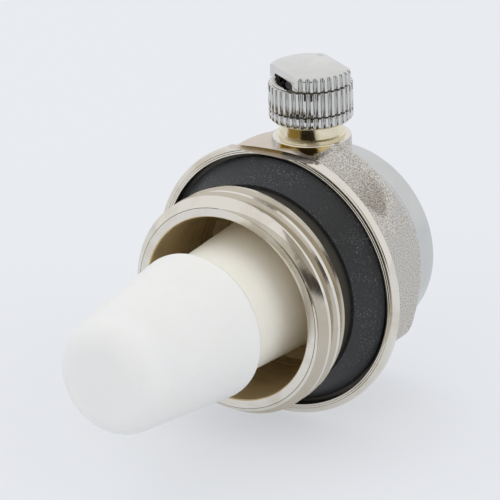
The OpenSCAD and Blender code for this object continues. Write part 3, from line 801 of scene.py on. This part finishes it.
@dataclass
class ValveBody:
    """Brass body: a sand casting with hexagon, ridge and boss, then turned, threaded and bored."""

    at: Stations
    palette: Palette

    # Nipple, with its lead chamfer and the relief behind the thread
    lead_len: float = 1.25
    lead_depth: float = 1.42
    mouth_round: float = 0.12
    relief_depth: float = 1.52
    relief_slope: float = 0.7
    nipple_wall: float = 1.27

    # Rim, with the recess of the sealing ring, and the slope behind it
    recess_r: float = 19.3
    recess_round: float = 0.08
    rim_band: float = 1.4
    rim_round: float = 0.5
    rim_front_round: float = 0.4
    rim_band_round: float = 0.15
    rim_marks: int = 2
    mark_w: float = 0.13
    mark_depth: float = 0.1
    rim_back_run: float = 2.6
    rim_back_drop: float = 3.2
    rim_core_run: float = 1.04
    rim_core_drop: float = 1.6
    slope_inset: float = 0.2

    # Casting; back_stock is the extra length behind it, in allowances
    hex_af: float = 32.0
    hex_corner_r: float = 18.0
    saddle_r: float = 20.0
    saddle_spread: float = 45.0
    knee_round: float = 9.0
    ridge_flat: float = 0.6
    back_chamfer: float = 3.8
    back_edge: float = 0.3
    lip_round: float = 1.4
    back_stock: float = 12.0
    turned_len: float = 1.2
    allowance: float = 0.15
    voxel: float = 0.25
    casting_softness: int = 36

    # Vent boss and the flat that is faced round it
    boss_r: float = 5.8
    boss_edge: float = 0.3
    boss_room: float = 0.9
    facing_r: float = 13.98

    # Inside
    bore_depth: float = 4.0
    mouth_bevel: float = 0.15
    chamber_r: float = 11.4
    shank_r: float = 4.02
    shank_low: float = 14.0
    spout_r: float = 2.12

    # Thread groove; its run before and after groove_y is in degrees of turn
    pitch: float = 2.309
    flank: float = 27.5
    root_w: float = 0.18
    root_clear: float = 0.04
    crest_clear: float = 0.12
    groove_y: float = -1.2
    groove_angle: float = 10.0
    groove_before: float = 400.0
    groove_after: float = 650.0
    groove_steps: int = 120

    # How far a cutting tool reaches past the body
    overrun: float = 1.0
    tool_reach: float = 2.0

    # Where the finishes change; the boss is polished between two directions seen from above
    polish_from: float = -22.0
    polish_to: float = 62.0
    web_low: float = 12.0
    web_right: float = 3.6
    web_r: float = 11.5
    web_back: float = -1.0
    relief_share: float = 0.6
    recess_from: float = 0.2
    outward_slope: float = 0.1
    mouth_line_y: float = 0.08
    mouth_line_w: float = 0.1
    margin: float = 0.02
    smooth_angle: float = 32.0

    @property
    def relief_r(self) -> float:
        """Radius of the relief behind the thread."""
        return self.at.thread_r - self.relief_depth

    @property
    def bore_r(self) -> float:
        """Radius of the bore that the float passes through."""
        return self.relief_r - self.nipple_wall

    @property
    def turned_y(self) -> float:
        """Start of the turned stretch in front of the cover."""
        return self.at.cover_y - self.turned_len

    def chamfer_y(self, radius: float) -> float:
        """Place where the chamfer at the back has a given radius."""
        end_r = self.at.cover_r + self.back_edge
        return self.turned_y - self.back_chamfer * (radius - end_r) / (self.hex_corner_r - end_r)

    def back_outline(self, radius: float, spare: float) -> list[Corner]:
        """Outline of the back of the body.

        Args:
            radius: Radius in front of the chamfer.
            spare: Allowance outside the finished surface.

        Returns:
            Corners from the axis to the axis.
        """
        at = self.at
        lip_r = at.cover_r + spare
        end_y = at.cover_y + self.back_stock * spare
        return [
            Corner(0.0, at.recess_y),
            Corner(radius, at.recess_y),
            Corner(radius, self.chamfer_y(radius) + spare),
            Corner(lip_r, self.chamfer_y(lip_r) + spare, self.lip_round),
            Corner(lip_r, end_y),
            Corner(0.0, end_y),
        ]

    def casting(self) -> bpy.types.Object:
        """Cast shape with hexagon, ridge, boss and the slope behind the rim, with soft inner corners.

        Returns:
            The casting, before it is turned.
        """
        at = self.at
        cast = self.palette.cast
        spare = self.allowance
        length = at.cover_y + self.back_stock * spare - at.recess_y
        bpy.ops.object.select_all(action="DESELECT")
        bpy.ops.mesh.primitive_cylinder_add(
            vertices=6,
            radius=self.hex_af / 2 / math.cos(math.pi / 6),
            depth=length,
            location=(0.0, at.recess_y + length / 2, 0.0),
            rotation=(math.pi / 2, 0.0, 0.0),
        )
        casting = bpy.context.active_object
        casting.name = "body_casting"
        Bench.apply_place(casting)
        casting.data.materials.append(cast)
        envelope = Bench.turn("hex_envelope", self.back_outline(self.hex_corner_r, spare), Axis.THREAD, cast)
        Bench.combine(casting, envelope, Joinery.COMMON)
        Bench.combine(casting, self.saddle(spare), Joinery.JOIN)
        slope = Bench.turn("rim_slope", [
            Corner(0.0, at.recess_y),
            Corner(at.rim_r - self.slope_inset, at.recess_y),
            Corner(at.rim_r - self.rim_back_drop, at.rim_y + self.rim_band + self.rim_back_run),
            Corner(0.0, at.rim_y + self.rim_band + self.rim_back_run),
        ], Axis.THREAD, cast)
        Bench.combine(casting, slope, Joinery.JOIN)
        boss = Bench.turn("boss_core", [
            Corner(0.0, self.chamber_r),
            Corner(self.boss_r, self.chamber_r),
            Corner(self.boss_r, at.boss_top + spare),
            Corner(0.0, at.boss_top + spare),
        ], Axis.VENT, cast, at.vent_y, SMALL_TURN)
        Bench.combine(casting, boss, Joinery.JOIN)
        Bench.apply_modifier(casting, "REMESH", {"mode": "VOXEL", "voxel_size": self.voxel})
        Bench.apply_modifier(casting, "SMOOTH", {"factor": 0.5, "iterations": self.casting_softness})
        return casting

    def saddle(self, spare: float) -> bpy.types.Object:
        """Ridge round the thread axis that carries the boss.

        Args:
            spare: Allowance on the chamfer.

        Returns:
            The ridge.
        """
        at = self.at
        top = at.boss_top - self.boss_edge
        half_top = math.sqrt(at.rim_r ** 2 - top ** 2)
        spread = math.radians(self.saddle_spread)
        knee = (at.rim_r * math.sin(spread), at.rim_r * math.cos(spread))
        foot = (self.hex_corner_r * math.sin(math.pi / 3), self.hex_corner_r * math.cos(math.pi / 3))
        right = Bench.rounded([
            Corner(half_top, top), Corner(knee[0], knee[1], self.knee_round), Corner(foot[0], foot[1]),
        ])
        left = [(-x, z) for x, z in reversed(right)]
        ridge = Bench.prism(
            "body_ridge", left + right + [(0.0, self.chamber_r)], at.recess_y, at.cover_y, self.palette.cast
        )
        crest_y = self.chamfer_y(self.saddle_r) - self.ridge_flat
        foot_r = self.hex_af / 2
        outline = self.back_outline(self.saddle_r, spare)
        outline[1:2] = [
            Corner(foot_r, at.recess_y),
            Corner(foot_r, crest_y - self.saddle_r + foot_r),
            Corner(self.saddle_r, crest_y),
        ]
        return Bench.combine(
            ridge, Bench.turn("ridge_outline", outline, Axis.THREAD, self.palette.cast), Joinery.COMMON
        )

    def turned_back(self) -> bpy.types.Object:
        """Space that the lathe leaves at the back, with room round the boss.

        Returns:
            The space as a solid.
        """
        at = self.at
        reach = at.rim_r + self.tool_reach
        back = Bench.turn("turned_back", self.back_outline(reach, 0.0), Axis.THREAD, self.palette.back)
        room_r = self.boss_r + self.boss_room
        room_top = at.boss_top + self.tool_reach
        room = Bench.turn("boss_room", [
            Corner(0.0, 0.0),
            Corner(room_r, 0.0),
            Corner(room_r, room_top),
            Corner(0.0, room_top),
        ], Axis.VENT, self.palette.cast, at.vent_y, SMALL_TURN)
        return Bench.combine(back, room, Joinery.JOIN)

    def turned_front(self) -> bpy.types.Object:
        """Turned nipple, relief, recess and rim, with the fine grooves of the tool on the rim's face.

        Returns:
            The turned solid.
        """
        at = self.at
        corners = [
            Corner(0.0, at.mouth_y),
            Corner(at.thread_r - self.lead_depth, at.mouth_y, self.mouth_round),
            Corner(at.thread_r, at.mouth_y + self.lead_len),
            Corner(at.thread_r, at.thread_end),
            Corner(self.relief_r, at.thread_end + self.relief_slope),
            Corner(self.relief_r, at.recess_y),
            Corner(self.recess_r, at.recess_y),
            Corner(self.recess_r, at.rim_y, self.recess_round),
        ]
        land = (at.rim_r - self.rim_round - self.recess_r) / (self.rim_marks + 1)
        for mark in range(1, self.rim_marks + 1):
            middle = self.recess_r + land * mark
            corners += [
                Corner(middle - self.mark_w / 2, at.rim_y),
                Corner(middle, at.rim_y + self.mark_depth),
                Corner(middle + self.mark_w / 2, at.rim_y),
            ]
        band_y = at.rim_y + self.rim_band
        corners += [
            Corner(at.rim_r, at.rim_y, self.rim_front_round),
            Corner(at.rim_r, band_y, self.rim_band_round),
            Corner(at.rim_r - self.rim_core_drop, band_y + self.rim_core_run),
            Corner(0.0, band_y + self.rim_core_run),
        ]
        return Bench.turn("turned_front", corners, Axis.THREAD, self.palette.turned, steps=FINE_TURN)

    def hollow(self) -> bpy.types.Object:
        """Inside of the body: bore, chamber, seat of the hinge plate and spigot.

        Returns:
            The hollow as a solid.
        """
        at = self.at
        step = self.bore_r - self.chamber_r
        return Bench.turn("body_hollow", [
            Corner(0.0, at.mouth_y - self.overrun),
            Corner(self.bore_r + self.mouth_bevel + self.overrun, at.mouth_y - self.overrun),
            Corner(self.bore_r, at.mouth_y + self.mouth_bevel),
            Corner(self.bore_r, at.rim_y + self.bore_depth),
            Corner(self.chamber_r, at.rim_y + self.bore_depth + step),
            Corner(self.chamber_r, at.plate_y),
            Corner(at.spigot_r, at.plate_y),
            Corner(at.spigot_r, at.cover_y + self.overrun),
            Corner(0.0, at.cover_y + self.overrun),
        ], Axis.THREAD, self.palette.bore, steps=FINE_TURN)

    def thread_groove(self) -> bpy.types.Object:
        """Helical groove of the pipe thread, which runs out of the lead chamfer and into the relief.

        Returns:
            The groove as a solid.
        """
        at = self.at
        root_r = self.relief_r + self.root_clear
        over_r = at.thread_r + self.crest_clear
        half = self.root_w / 2 + (over_r - root_r) * math.tan(math.radians(self.flank))
        start_y = self.groove_y - self.pitch * self.groove_before / 360.0
        angle = math.radians(self.groove_angle - self.groove_before)
        section = [
            (root_r, -self.root_w / 2), (over_r, -half), (over_r, half), (root_r, self.root_w / 2),
        ]
        points = [Vector((r * math.sin(angle), start_y + y, r * math.cos(angle))) for r, y in section]
        groove = Bench.trace("thread_groove", points, closed=True)
        Bench.edit(groove)
        bpy.ops.mesh.delete(type="ONLY_FACE")
        Bench.close()
        turns = (self.groove_before + self.groove_after) / 360.0
        steps = round(self.groove_steps * turns)
        Bench.apply_modifier(groove, "SCREW", {
            "axis": "Y",
            "angle": math.tau * turns,
            "screw_offset": self.pitch * turns,
            "steps": steps,
            "render_steps": steps,
            "use_smooth_shade": False,
        })
        Bench.edit(groove)
        bpy.ops.mesh.select_all(action="DESELECT")
        bpy.ops.mesh.select_non_manifold()
        bpy.ops.mesh.fill_holes(sides=0)
        Bench.tidy_open_mesh()
        Bench.close()
        groove.data.materials.append(self.palette.flank)
        return groove

    def drill(self, name: str, radius: float, low: float) -> bpy.types.Object:
        """Bore along the vent axis.

        Args:
            name: Name of the tool solid.
            radius: Radius of the bore.
            low: Its lower end.

        Returns:
            The bore as a solid.
        """
        top = self.at.boss_top + self.overrun
        return Bench.turn(name, [
            Corner(0.0, low), Corner(radius, low), Corner(radius, top), Corner(0.0, top),
        ], Axis.VENT, self.palette.bore, self.at.vent_y, SMALL_TURN)

    def finish_at(self, face: bpy.types.MeshPolygon, index: dict[bpy.types.Material, int]) -> int:
        """Choose the finish of a face by its place on the body.

        Args:
            face: Face of the body, in millimetres.
            index: Index of each material of the body.

        Returns:
            Material index of the face.
        """
        at = self.at
        palette = self.palette
        spot = face.center
        away = math.hypot(spot.x, spot.y - at.vent_y)
        radius = math.hypot(spot.x, spot.z)
        if face.material_index == index[palette.boss]:
            azimuth = math.degrees(math.atan2(spot.x, at.vent_y - spot.y))
            if abs(face.normal.z) >= WALL_NORMAL_Z:
                return index[palette.turned]
            if not self.polish_from < azimuth < self.polish_to:
                return index[palette.cast]
        elif face.material_index == index[palette.cast]:
            beside_boss = spot.z > self.web_low and spot.x < self.web_right and away < self.web_r
            if beside_boss and spot.y < at.vent_y + self.web_back:
                return index[palette.web]
        elif face.material_index == index[palette.turned]:
            if abs(spot.z - at.boss_top) < self.margin and away > self.boss_r:
                return index[palette.web]
            # Relief behind the thread and the recess floor: painted shade, in dark nickel
            if at.thread_end < spot.y < at.recess_y + self.margin:
                behind_thread = radius < self.relief_r + self.relief_share * self.relief_depth
                slope = face.normal.x * spot.x + face.normal.z * spot.z
                inwards = slope <= self.outward_slope * radius
                in_recess = spot.y > at.rim_y + self.recess_from and radius < self.recess_r + self.margin
                if behind_thread or (in_recess and inwards):
                    return index[palette.relief]
            # Thin line at the mouth's edge: a painted dark line of shade
            mouth_r = at.thread_r - self.lead_depth
            if spot.y < at.mouth_y + self.mouth_line_y and abs(radius - mouth_r) < self.mouth_line_w:
                return index[palette.relief]
        return face.material_index

    def dress(self, body: bpy.types.Object) -> None:
        """Give each face its finish: painted shade on the relief, recess and mouth line, dressed web, polished
        boss.

        Args:
            body: The body, still in millimetres.
        """
        for finish in (self.palette.relief, self.palette.web):
            body.data.materials.append(finish)
        index: dict[bpy.types.Material, int] = {}
        for number, slot in enumerate(body.material_slots):
            index.setdefault(slot.material, number)
        for face in body.data.polygons:
            face.material_index = self.finish_at(face, index)

    def build(self) -> bpy.types.Object:
        """Make the body in the order of the workshop.

        Returns:
            The finished piece.
        """
        at = self.at
        body = self.casting()
        Bench.combine(body, self.turned_back(), Joinery.COMMON)
        Bench.combine(body, self.turned_front(), Joinery.JOIN)
        facing = Bench.turn("facing_cut", [
            Corner(0.0, at.boss_top),
            Corner(self.facing_r, at.boss_top),
            Corner(self.facing_r, at.rim_r + self.tool_reach),
            Corner(0.0, at.rim_r + self.tool_reach),
        ], Axis.VENT, self.palette.turned, at.vent_y)
        Bench.combine(body, facing, Joinery.CUT)
        boss = Bench.turn("polished_boss", [
            Corner(0.0, self.chamber_r),
            Corner(self.boss_r, self.chamber_r),
            Corner(self.boss_r, at.boss_top, self.boss_edge),
            Corner(0.0, at.boss_top),
        ], Axis.VENT, self.palette.boss, at.vent_y)
        Bench.combine(body, boss, Joinery.JOIN)
        Bench.combine(body, self.hollow(), Joinery.CUT)
        Bench.combine(body, self.drill("shank_bore", self.shank_r, self.shank_low), Joinery.CUT)
        Bench.combine(body, self.drill("spout_bore", self.spout_r, 0.0), Joinery.CUT)
        Bench.combine(body, self.thread_groove(), Joinery.CUT)
        body.name = "body_nickel_casting"
        self.dress(body)
        Bench.to_metres(body)
        Bench.smooth(body, self.smooth_angle)
        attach(body, "body")
        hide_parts("valve_body")
        return body


@dataclass
class RearCover:
    """Turned cover that closes the back: a cup with a spigot and the groove of its sealing ring."""

    at: Stations
    palette: Palette
    cover_end: float
    wall: float = 1.2
    spigot_len: float = 2.8
    hollow_r: float = 10.6
    groove_r: float = 13.675
    groove_w: float = 1.2
    groove_depth: float = 0.98
    back_round: float = 0.6
    smooth_angle: float = 30.0

    def build(self) -> bpy.types.Object:
        """Turn the cover.

        Returns:
            The finished piece.
        """
        at = self.at
        inner = self.groove_r - self.groove_w / 2
        outer = self.groove_r + self.groove_w / 2
        cover = Bench.turn("cover_satin_nickel", [
            Corner(0.0, self.cover_end - self.wall),
            Corner(self.hollow_r, self.cover_end - self.wall),
            Corner(self.hollow_r, at.cover_y - self.spigot_len),
            Corner(at.spigot_r, at.cover_y - self.spigot_len),
            Corner(at.spigot_r, at.cover_y),
            Corner(inner, at.cover_y),
            Corner(inner, at.cover_y + self.groove_depth),
            Corner(outer, at.cover_y + self.groove_depth),
            Corner(outer, at.cover_y),
            Corner(at.cover_r, at.cover_y),
            Corner(at.cover_r, self.cover_end, self.back_round),
            Corner(0.0, self.cover_end),
        ], Axis.THREAD, self.palette.back, steps=FINE_TURN)
        Bench.to_metres(cover)
        Bench.smooth(cover, self.smooth_angle)
        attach(cover, "body")
        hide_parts("rear_cover")
        return cover


@dataclass
class VentCap:
    """Knurled chrome cap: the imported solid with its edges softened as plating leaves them."""

    node: bpy.types.Object
    at: Stations
    palette: Palette
    edge: float = 0.05
    edge_angle: float = 40.0
    flat_angle: float = 1.0
    merge: float = 0.001
    notch_from: float = 0.16
    groove_from: float = 0.42
    groove_to: float = 0.7
    smooth_angle: float = 30.0

    def dress(self, cap: bpy.types.Object) -> None:
        """Chrome the cap, with painted shade: darker, duller chrome in the notches between the ribs and dark
        nickel in the grooves.

        Args:
            cap: The cap in metres.
        """
        finishes = [self.palette.chrome, self.palette.dull_shaded_chrome, self.palette.relief]
        cap.data.materials.clear()
        for finish in finishes:
            cap.data.materials.append(finish)
        reach = [
            math.hypot(face.center.x / MM, face.center.y / MM - self.at.vent_y)
            for face in cap.data.polygons
        ]
        outer = max(reach)
        for face, away in zip(cap.data.polygons, reach):
            depth = outer - away
            # Painted shade: notches take the darker chrome, the deeper grooves the dark nickel
            if self.notch_from < depth < self.groove_to and abs(face.normal.z) < WALL_NORMAL_Z:
                finish = self.palette.relief if depth > self.groove_from else self.palette.dull_shaded_chrome
                face.material_index = finishes.index(finish)

    def build(self) -> bpy.types.Object:
        """Copy the solid, merge it and soften its edges.

        Returns:
            The finished piece.
        """
        bpy.ops.object.select_all(action="DESELECT")
        cap = bpy.data.objects.new("cap_knurled_chrome", self.node.data.copy())
        bpy.context.scene.collection.objects.link(cap)
        Bench.edit(cap)
        bpy.ops.mesh.customdata_custom_splitnormals_clear()
        bpy.ops.mesh.remove_doubles(threshold=self.merge * MM)
        bpy.ops.mesh.dissolve_limited(angle_limit=math.radians(self.flat_angle))
        Bench.close()
        Bench.apply_modifier(cap, "BEVEL", {
            "width": self.edge * MM,
            "segments": 2,
            "limit_method": "ANGLE",
            "angle_limit": math.radians(self.edge_angle),
            "use_clamp_overlap": True,
        })
        self.dress(cap)
        Bench.smooth(cap, self.smooth_angle)
        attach(cap, "cap")
        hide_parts("vent_cap")
        return cap


@dataclass
class Fittings:
    """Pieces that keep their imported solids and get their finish."""

    nodes: dict[str, bpy.types.Object]
    palette: Palette

    def dress(self) -> list[str]:
        """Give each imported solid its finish.

        Returns:
            Names of the dressed nodes.
        """
        finishes = {
            self.palette.brass: ["vent_seat", "plug_cage"],
            self.palette.rubber: ["port_gasket", "cover_ring", "vent_seat_ring", "valve_plug", "cap_washer"],
            self.palette.white: ["float_nose"],
            # The float's neck takes the copy of its polymer that is painted with bounced light
            self.palette.stem_painted_bounce: ["float_stem"],
            self.palette.acetal: ["lever_bush", "plug_holder"],
            self.palette.steel: ["hinge_plate", "pivot_pin", "pin_clips", "float_lever", "lever_rivets"],
            self.palette.fibre: ["cap_discs"],
        }
        dressed = []
        for finish, names in finishes.items():
            for name in names:
                for slot in self.nodes[name].material_slots:
                    slot.material = finish
                dressed.append(name)
        return dressed


@dataclass(frozen=True)
class SoftBox:
    """Square lamp that faces the origin: its place and side in metres, its power in watts."""

    name: str
    place: tuple[float, float, float]
    side: float
    power: float


@dataclass(frozen=True)
class DarkCard:
    """Card for reflections: middle and size in millimetres, tilt about X and turn about Z in degrees."""

    name: str
    middle: tuple[float, float, float]
    size: tuple[float, float]
    turn: tuple[float, float]
    colour: str


@dataclass
class Studio:
    """Plain pale floor, soft light, cards for the metal and the camera of the photograph."""

    at: Stations
    azimuth: float = 35.15
    elevation: float = 22.07
    roll: float = -2.05
    distance: float = 454.03
    focal_px: float = 3065.7
    aim_right: float = -9.928
    aim_up: float = 0.661
    aim_y: float = 20.215
    frame_px: float = 500.0
    sensor: float = 36.0
    near_clip: float = 0.01
    floor_colour: str = "E7E9ED"
    floor_size: float = 12.0
    floor_roughness: float = 0.9
    floor_gloss: float = 0.1
    floor_glow: float = 0.6
    sky_colour: str = "F7F8FA"
    sky_strength: float = 0.95
    lamps: tuple[SoftBox, ...] = (
        SoftBox("key_box", (-0.30, 0.18, 0.55), 0.45, 0.5),
        SoftBox("side_box", (0.55, 0.05, 0.30), 0.35, 0.4),
        SoftBox("front_box", (-0.08, -0.60, 0.30), 0.50, 0.4),
    )
    # Two cards give the polished boss its bands, and two shade the thread and the right side
    cards: tuple[DarkCard, ...] = (
        DarkCard("boss_flag", (3.9, 11.7, 18.75), (6.6, 4.0), (-52.0, 0.0), "2A2211"),
        DarkCard("boss_flag_gold", (-3.0, 11.7, 18.75), (7.2, 4.0), (-52.0, 0.0), "A58E4A"),
        DarkCard("thread_flag", (131.0, -213.0, 12.0), (148.0, 62.0), (90.0, 31.5), "3A3630"),
        DarkCard("side_flag", (193.0, -230.0, 180.0), (250.0, 310.0), (90.0, 40.0), "B3ACA0"),
    )

    def axes(self) -> tuple[Vector, Vector, Vector]:
        """Work out how the camera is turned.

        Returns:
            Its right, up and back directions.
        """
        azimuth = math.radians(self.azimuth)
        elevation = math.radians(self.elevation)
        roll = math.radians(self.roll)
        back = Vector((
            math.sin(azimuth) * math.cos(elevation),
            -math.cos(azimuth) * math.cos(elevation),
            math.sin(elevation),
        ))
        level = Vector((math.cos(azimuth), math.sin(azimuth), 0.0))
        upright = back.cross(level)
        right = math.cos(roll) * level + math.sin(roll) * upright
        up = -math.sin(roll) * level + math.cos(roll) * upright
        return right, up, back

    def set_camera(self) -> None:
        """Put the camera where the photograph was taken."""
        right, up, back = self.axes()
        place = back * self.distance + right * self.aim_right + up * self.aim_up
        place.y += self.aim_y
        camera = bpy.data.cameras.new("photo_camera")
        camera.sensor_fit = "HORIZONTAL"
        camera.sensor_width = self.sensor
        camera.lens = self.focal_px / self.frame_px * self.sensor
        camera.clip_start = self.near_clip
        holder = bpy.data.objects.new("photo_camera", camera)
        bpy.context.scene.collection.objects.link(holder)
        turn = Matrix((right, up, back)).transposed().to_4x4()
        holder.matrix_world = Matrix.Translation(place * MM) @ turn
        bpy.context.scene.camera = holder

    def lay_floor(self) -> None:
        """Lay the pale floor under the rim.

        It glows a little to the eye and in metal, so the shadow on it is faint.
        """
        bpy.ops.object.select_all(action="DESELECT")
        bpy.ops.mesh.primitive_plane_add(size=self.floor_size, location=(0.0, 0.0, self.at.floor_z * MM))
        floor = bpy.context.active_object
        floor.name = "studio_floor"
        material = bpy.data.materials.new("studio_paper")
        material.use_nodes = True
        shader = material.node_tree.nodes["Principled BSDF"]
        shader.inputs["Base Color"].default_value = linear(self.floor_colour)
        shader.inputs["Roughness"].default_value = self.floor_roughness
        shader.inputs["Specular IOR Level"].default_value = self.floor_gloss
        tree = material.node_tree
        path = add_node(tree, "ShaderNodeLightPath").outputs
        seen = add_node(tree, "ShaderNodeMath", {"operation": "MAXIMUM"}, {
            0: path["Is Camera Ray"], 1: path["Is Glossy Ray"],
        })
        seen = add_node(tree, "ShaderNodeMath", {"operation": "MAXIMUM"}, {
            0: seen.outputs["Value"], 1: path["Is Transmission Ray"],
        })
        share = add_node(tree, "ShaderNodeMath", {"operation": "MULTIPLY", 1: self.floor_glow}, {
            0: seen.outputs["Value"],
        })
        glow = add_node(tree, "ShaderNodeEmission", {"Color": linear(self.floor_colour), "Strength": 1.0})
        paper = add_node(tree, "ShaderNodeMixShader", {}, {
            0: share.outputs["Value"], 1: shader.outputs["BSDF"], 2: glow.outputs["Emission"],
        })
        tree.links.new(paper.outputs["Shader"], tree.nodes["Material Output"].inputs["Surface"])
        floor.data.materials.append(material)

    def hang_sky(self) -> None:
        """Surround the scene with soft light."""
        world = bpy.data.worlds.new("studio_light")
        world.use_nodes = True
        background = world.node_tree.nodes["Background"]
        background.inputs["Color"].default_value = linear(self.sky_colour)
        background.inputs["Strength"].default_value = self.sky_strength
        bpy.context.scene.world = world

    def add_lamp(self, box: SoftBox) -> None:
        """Add one soft box, whose outline does not show in the metal.

        Args:
            box: The soft box.
        """
        light = bpy.data.lights.new(box.name, "AREA")
        light.shape = "SQUARE"
        light.size = box.side
        light.energy = box.power
        lamp = bpy.data.objects.new(box.name, light)
        lamp.visible_glossy = False
        bpy.context.scene.collection.objects.link(lamp)
        place = Vector(box.place)
        facing = (-place).to_track_quat("-Z", "Y").to_matrix().to_4x4()
        lamp.matrix_world = Matrix.Translation(place) @ facing

    def hang_flag(self, card: DarkCard) -> None:
        """Hang a dark card that is seen only in reflections.

        Args:
            card: The card.
        """
        width, height = card.size
        tilt, turn = card.turn
        bpy.ops.object.select_all(action="DESELECT")
        bpy.ops.mesh.primitive_plane_add(size=1.0)
        flag = bpy.context.active_object
        flag.name = card.name
        flag.scale = (width * MM, height * MM, 1.0)
        flag.rotation_euler = (math.radians(tilt), 0.0, math.radians(turn))
        flag.location = Vector(card.middle) * MM
        Bench.apply_place(flag)
        material = bpy.data.materials.new(card.name)
        material.use_nodes = True
        shader = material.node_tree.nodes["Principled BSDF"]
        shader.inputs["Base Color"].default_value = linear(card.colour)
        shader.inputs["Roughness"].default_value = 1.0
        flag.data.materials.append(material)
        flag.visible_camera = False
        flag.visible_diffuse = False
        flag.visible_shadow = False

    def build(self) -> None:
        """Set up the camera, the floor and the light."""
        bpy.context.scene.view_settings.view_transform = "Standard"
        self.set_camera()
        self.lay_floor()
        self.hang_sky()
        for box in self.lamps:
            self.add_lamp(box)
        for card in self.cards:
            self.hang_flag(card)


def main() -> None:
    """Build the air vent piece by piece and report each one."""
    logging.basicConfig(level=logging.INFO, format="%(name)s: %(message)s")
    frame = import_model()
    at = Stations.from_frame(frame)
    palette = Palette()
    Studio(at).build()
    body = ValveBody(at, palette).build()
    LOG.info("%s: %d faces", body.name, len(body.data.polygons))
    cover = RearCover(at, palette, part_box("rear_cover")[1].y / MM).build()
    LOG.info("%s: %d faces", cover.name, len(cover.data.polygons))
    cap = VentCap(frame["nodes"]["vent_cap"], at, palette).build()
    LOG.info("%s: %d faces", cap.name, len(cap.data.polygons))
    for name in Fittings(frame["nodes"], palette).dress():
        LOG.info("%s: dressed", name)


if __name__ == "__main__":
    main()
